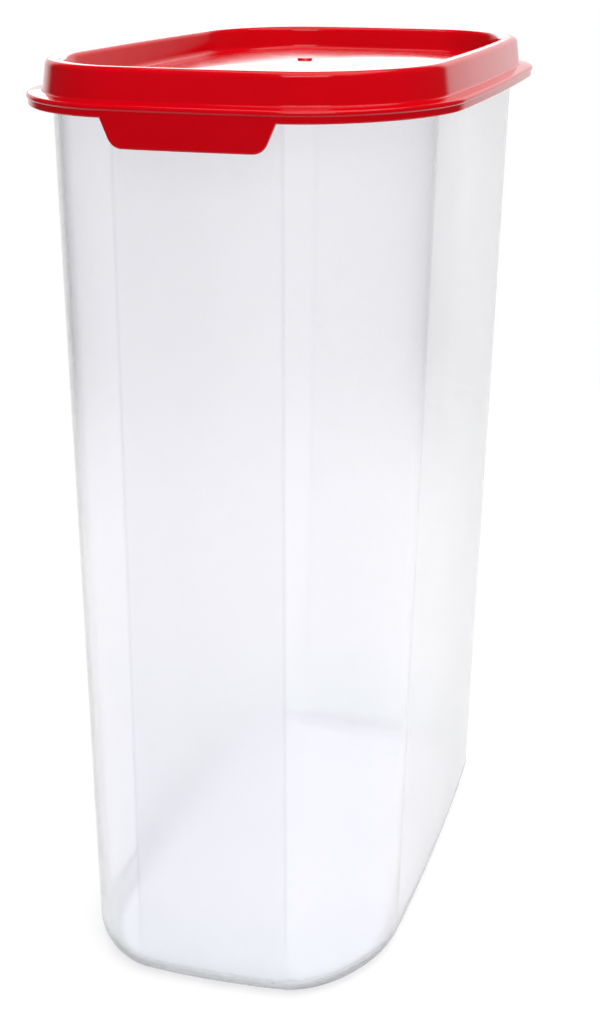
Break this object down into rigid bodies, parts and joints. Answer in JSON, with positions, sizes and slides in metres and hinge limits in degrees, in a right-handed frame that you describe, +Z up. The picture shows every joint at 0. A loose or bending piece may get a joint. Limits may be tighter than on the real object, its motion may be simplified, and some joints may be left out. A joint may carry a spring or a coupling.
{
  "type": "cereal storage container",
  "caption": "Tall tapered kitchen storage container with rounded corners, a translucent body and a push-on lid with a raised rim and a pull tab.",
  "frame": {"origin": "centre of the base, on the surface it stands on", "axes": "+Z up, Y along the long side of the plan, the pull tab at the -Y end"},
  "size_m": [0.1276, 0.229, 0.28],
  "materials": {
    "clear_plastic": "slightly cloudy, glossy",
    "red_plastic": "glossy"
  },
  "bodies": {
    "container": {"container_body": "clear_plastic"},
    "lid": {"lid": "red_plastic"}
  },
  "joints": [
    {"name": "lid_lift", "type": "slide", "parent": "container", "child": "lid", "axis": [0, 0, 1], "range_m": [0, 0.15]}
  ]
}
